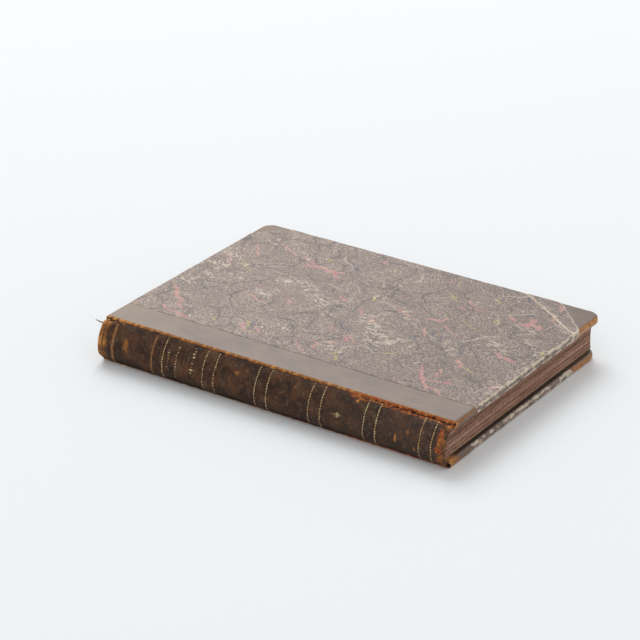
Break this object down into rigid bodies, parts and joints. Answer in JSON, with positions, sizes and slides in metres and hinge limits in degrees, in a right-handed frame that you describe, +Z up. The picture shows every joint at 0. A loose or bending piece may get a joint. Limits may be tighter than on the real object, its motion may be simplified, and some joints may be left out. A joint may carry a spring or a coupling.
{
  "type": "antique half-leather book",
  "caption": "Old hand-bound book in half leather with marbled paper sides, lying closed on its back cover; both covers open on leather hinges.",
  "frame": {"origin": "middle of the book's underside, on the surface it lies on", "axes": "+X along the spine from head to tail, +Y from the spine to the fore edge, +Z up out of the front cover"},
  "size_m": [0.23, 0.1689, 0.025],
  "materials": {
    "page_edges": "matte",
    "endpaper": "matte",
    "cord": "matte",
    "millboard": "matte",
    "spine_leather": "satin",
    "side_leather": "satin",
    "marbled_paper": "satin",
    "gilt": "satin"
  },
  "bodies": {
    "block": {"text_block": "page_edges", "front_endpaper": "endpaper", "back_endpaper": "endpaper", "sewing_cord_1": "cord", "sewing_cord_2": "cord", "sewing_cord_3": "cord", "sewing_cord_4": "cord", "sewing_cord_5": "cord", "spine_lining": "endpaper", "spine_stiffener": "millboard", "spine_leather": "spine_leather", "gilt_fillets": "gilt"},
    "front_cover": {"front_board": "millboard", "front_leather_side": "side_leather", "front_head_corner": "side_leather", "front_tail_corner": "side_leather", "front_marbled_paper": "marbled_paper", "front_pastedown": "endpaper"},
    "back_cover": {"back_board": "millboard", "back_leather_side": "side_leather", "back_head_corner": "side_leather", "back_tail_corner": "side_leather", "back_marbled_paper": "marbled_paper", "back_pastedown": "endpaper"}
  },
  "joints": [
    {"name": "front_hinge", "type": "hinge", "parent": "block", "child": "front_cover", "pos_m": [0, -0.0746, 0.0246], "axis": [1, 0, 0], "range_deg": [0, 180]},
    {"name": "back_hinge", "type": "hinge", "parent": "block", "child": "back_cover", "pos_m": [0, -0.0791, 0.0004], "axis": [-1, 0, 0], "range_deg": [0, 180]}
  ]
}
